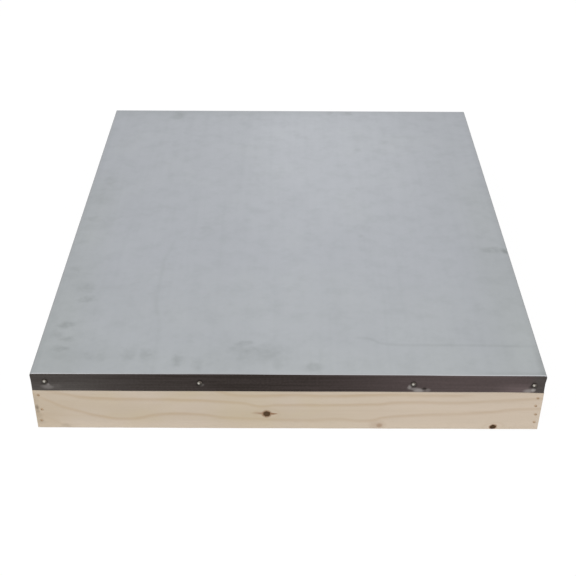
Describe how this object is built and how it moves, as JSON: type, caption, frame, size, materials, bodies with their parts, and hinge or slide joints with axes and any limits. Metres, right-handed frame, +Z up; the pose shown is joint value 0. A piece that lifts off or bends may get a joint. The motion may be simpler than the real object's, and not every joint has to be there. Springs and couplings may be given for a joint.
{
  "type": "beehive lid",
  "caption": "Flat telescoping beehive lid: a wooden rim and plywood deck under a folded galvanised sheet cover, which drops over the top of a hive body.",
  "frame": {"origin": "middle of the plane that the rim's foot stands on", "axes": "+Z up through the sheet cover, -Y towards the front board, the longer side along Y"},
  "size_m": [0.4616, 0.558, 0.0634],
  "materials": {
    "zinc_sheet": "galvanised sheet, dull grey, smudged",
    "pine": "planed, bare",
    "plywood": "rotary-cut face, bare",
    "nail_steel": "zinc plated, domed heads",
    "brad_steel": "dull wire"
  },
  "bodies": {
    "root": {"sheet_cover": "zinc_sheet", "deck_panel": "plywood", "rim_front": "pine", "rim_back": "pine", "rim_left": "pine", "rim_right": "pine", "cover_nail_front_1": "nail_steel", "cover_nail_front_2": "nail_steel", "cover_nail_front_3": "nail_steel", "cover_nail_front_4": "nail_steel", "cover_nail_back_1": "nail_steel", "cover_nail_back_2": "nail_steel", "cover_nail_back_3": "nail_steel", "cover_nail_back_4": "nail_steel", "cover_nail_left_1": "nail_steel", "cover_nail_left_2": "nail_steel", "cover_nail_left_3": "nail_steel", "cover_nail_left_4": "nail_steel", "cover_nail_right_1": "nail_steel", "cover_nail_right_2": "nail_steel", "cover_nail_right_3": "nail_steel", "cover_nail_right_4": "nail_steel", "corner_brad_front_left_1": "brad_steel", "corner_brad_front_left_2": "brad_steel", "corner_brad_front_left_3": "brad_steel", "corner_brad_front_right_1": "brad_steel", "corner_brad_front_right_2": "brad_steel", "corner_brad_front_right_3": "brad_steel", "corner_brad_front_right_4": "brad_steel", "corner_brad_back_left_1": "brad_steel", "corner_brad_back_left_2": "brad_steel", "corner_brad_back_left_3": "brad_steel", "corner_brad_back_left_4": "brad_steel", "corner_brad_back_right_1": "brad_steel", "corner_brad_back_right_2": "brad_steel", "corner_brad_back_right_3": "brad_steel", "corner_brad_back_right_4": "brad_steel", "deck_brad_front_1": "brad_steel", "deck_brad_front_2": "brad_steel", "deck_brad_front_3": "brad_steel", "deck_brad_back_1": "brad_steel", "deck_brad_back_2": "brad_steel", "deck_brad_back_3": "brad_steel", "deck_brad_left_1": "brad_steel", "deck_brad_left_2": "brad_steel", "deck_brad_left_3": "brad_steel", "deck_brad_right_1": "brad_steel", "deck_brad_right_2": "brad_steel", "deck_brad_right_3": "brad_steel"}
  },
  "joints": []
}
